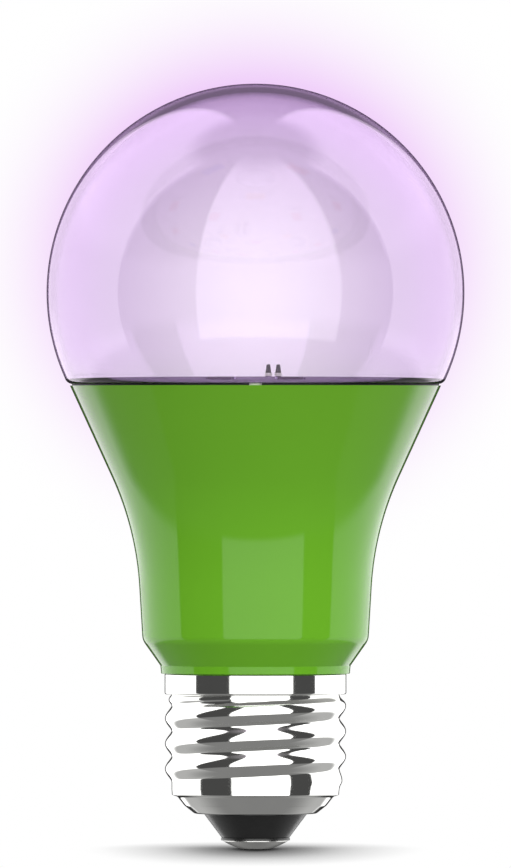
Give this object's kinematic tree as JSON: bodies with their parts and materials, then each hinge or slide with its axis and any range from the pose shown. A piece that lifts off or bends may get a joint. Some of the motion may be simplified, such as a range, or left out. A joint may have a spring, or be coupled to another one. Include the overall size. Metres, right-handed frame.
{
  "type": "smart light bulb",
  "caption": "Screw-cap LED lamp: clear violet globe on a flared green body, with a threaded metal cap and a dished centre contact.",
  "frame": {"origin": "middle of the centre contact's flat land, on the lamp's axis", "axes": "+Z along the lamp's axis, from the contact to the globe's crown; -Y is the side that the rim key is on"},
  "size_m": [0.06, 0.06, 0.1099],
  "materials": {
    "clear_violet_plastic": "clear violet polycarbonate, polished",
    "black_rubber": "moulded black silicone, satin",
    "green_plastic": "moulded green plastic, glossy",
    "drawn_aluminium": "deep-drawn aluminium, satin",
    "grey_pad": "soft thermal pad, matte",
    "white_board": "white solder mask on aluminium, satin",
    "plated_steel": "zinc-plated steel, satin",
    "white_plastic": "moulded white plastic, matte",
    "solder": "tinned, bright",
    "red_phosphor": "red filled silicone",
    "blue_phosphor": "blue filled silicone",
    "yellow_phosphor": "phosphor filled silicone",
    "dark_post": "dark tinned pin",
    "green_laminate": "glass-epoxy laminate with green mask",
    "capacitor_aluminium": "bare aluminium can",
    "black_sleeve": "shrunk sleeve",
    "ferrite": "sintered ferrite, matte",
    "bobbin_plastic": "moulded black phenolic",
    "yellow_tape": "polyester tape over copper",
    "copper_wire": "enamelled copper",
    "chip_epoxy": "moulded epoxy",
    "resistor_coat": "flame-proof coating",
    "film_yellow": "boxed film capacitor",
    "black_laminate": "glass-epoxy laminate with black mask",
    "shield_steel": "tinned steel can",
    "antenna_copper": "gold-flashed copper",
    "wire_red": "silicone wire insulation",
    "wire_black": "silicone wire insulation",
    "nickel_brass": "bright nickel plate on brass",
    "black_insulator": "moulded black, satin",
    "contact_nickel": "nickel-plated brass, satin"
  },
  "bodies": {
    "root": {"globe": "clear_violet_plastic", "rim_gasket": "black_rubber", "body_shell": "green_plastic", "heat_sink": "drawn_aluminium", "thermal_pad": "grey_pad", "led_board": "white_board", "board_screws": "plated_steel", "led_frames": "white_plastic", "led_tabs": "solder", "red_emitters": "red_phosphor", "blue_emitters": "blue_phosphor", "white_emitters": "yellow_phosphor", "supply_posts": "dark_post", "post_bushing": "white_plastic", "driver_board": "green_laminate", "input_capacitor_can": "capacitor_aluminium", "input_capacitor_sleeve": "black_sleeve", "output_capacitor_can": "capacitor_aluminium", "output_capacitor_sleeve": "black_sleeve", "capacitor_leads": "solder", "ferrite_core": "ferrite", "bobbin": "bobbin_plastic", "winding": "yellow_tape", "bobbin_pins": "solder", "bridge_rectifier": "chip_epoxy", "controller_chip": "chip_epoxy", "output_diode": "chip_epoxy", "fuse_resistor": "resistor_coat", "drum_core": "ferrite", "drum_winding": "copper_wire", "film_capacitor": "film_yellow", "wireless_board": "black_laminate", "module_strip": "bobbin_plastic", "module_shield": "shield_steel", "radio_chip": "chip_epoxy", "module_antenna": "antenna_copper", "live_wire": "wire_red", "neutral_wire": "wire_black", "screw_shell": "nickel_brass", "base_insulator": "black_insulator", "centre_contact": "contact_nickel"}
  },
  "joints": []
}
